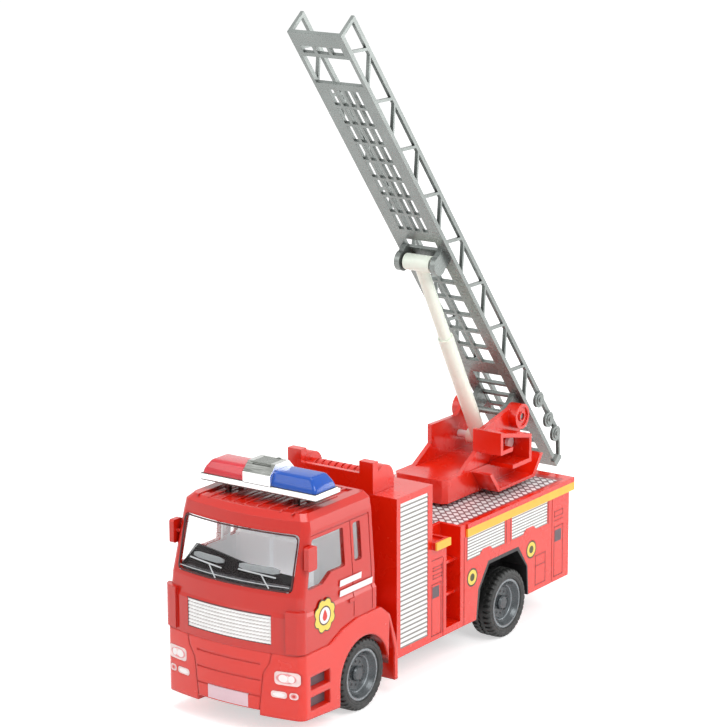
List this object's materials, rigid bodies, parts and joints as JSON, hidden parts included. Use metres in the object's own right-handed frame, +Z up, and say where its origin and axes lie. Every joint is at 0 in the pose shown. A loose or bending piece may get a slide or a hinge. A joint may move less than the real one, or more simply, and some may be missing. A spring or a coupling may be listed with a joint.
{
  "type": "toy fire engine with turntable ladder",
  "caption": "Toy fire engine with a cab-over cab, a deck with a turntable and a raised lattice ladder lifted by a cylinder; wheels roll.",
  "frame": {"origin": "on the ground under the middle of the box round the whole toy, ladder raised", "axes": "+Z up, -Y towards the cab's front, +X to the vehicle's left side"},
  "size_m": [0.0544, 0.177, 0.2117],
  "materials": {
    "cab_red": "gloss",
    "body_red": "gloss",
    "yellow": "gloss",
    "deck_print": "satin",
    "clear": "gloss",
    "cab_dark": "matte",
    "grille_silver": "satin",
    "plate_white": "satin",
    "shutter_white": "satin",
    "chrome": "polished",
    "lens_red": "gloss",
    "lens_blue": "gloss",
    "chassis_black": "satin",
    "axle_steel": "satin",
    "rim_grey": "gloss",
    "tyre_black": "matte",
    "ladder_grey": "gloss",
    "rivet_steel": "polished",
    "cylinder_white": "gloss"
  },
  "bodies": {
    "truck": {"cab_shell": "cab_red", "windscreen": "clear", "side_windows": "clear", "cab_interior": "cab_dark", "grille": "grille_silver", "mirrors": "cab_red", "front_bumper": "body_red", "front_lights": "grille_silver", "number_plate": "plate_white", "lightbar_base": "chrome", "lens_right": "lens_red", "lens_left": "lens_blue", "body_shell": "body_red", "deck_plate": "deck_print", "yellow_band": "yellow", "handle_knobs": "yellow", "side_shutters": "shutter_white", "chassis": "chassis_black", "ladder_rests": "body_red", "rest_roller": "body_red"},
    "front_wheels": {"front_axle": "axle_steel", "front_rims": "rim_grey", "front_tyres": "tyre_black"},
    "rear_wheels": {"rear_axle": "axle_steel", "rear_rims": "rim_grey", "rear_tyres": "tyre_black"},
    "turntable": {"turntable": "body_red", "cylinder_rivet": "rivet_steel"},
    "ladder": {"ladder": "ladder_grey", "hinge_pin": "ladder_grey", "ladder_pulleys": "ladder_grey"},
    "lift_sleeve": {"lift_sleeve": "cylinder_white"},
    "lift_rod": {"lift_rod": "cylinder_white"}
  },
  "joints": [
    {"name": "front_axle_roll", "type": "hinge", "parent": "truck", "child": "front_wheels", "pos_m": [0, -0.0529, 0.01156], "axis": [1, 0, 0], "continuous": true},
    {"name": "rear_axle_roll", "type": "hinge", "parent": "truck", "child": "rear_wheels", "pos_m": [0, 0.0299, 0.01156], "axis": [1, 0, 0], "continuous": true},
    {"name": "turntable_yaw", "type": "hinge", "parent": "truck", "child": "turntable", "pos_m": [0, 0.03714, 0.0454], "axis": [0, 0, 1], "range_deg": [-130, 130]},
    {"name": "ladder_lift", "type": "hinge", "parent": "turntable", "child": "ladder", "pos_m": [0, 0.05814, 0.0673], "axis": [-1, 0, 0], "range_deg": [-48, 0]},
    {"name": "sleeve_swing", "type": "hinge", "parent": "turntable", "child": "lift_sleeve", "pos_m": [0, 0.05134, 0.0599], "axis": [-1, 0, 0], "range_deg": [-49.1, 0.5]},
    {"name": "rod_slide", "type": "slide", "parent": "lift_sleeve", "child": "lift_rod", "axis": [0, -0.4787, 0.878], "range_m": [-0.0082, 0.0001]}
  ],
  "couplings": [
    {"joint": "sleeve_swing", "follows": "ladder_lift", "ratio": 1.0131},
    {"joint": "rod_slide", "follows": "ladder_lift", "m_per_rad": 0.009714}
  ]
}
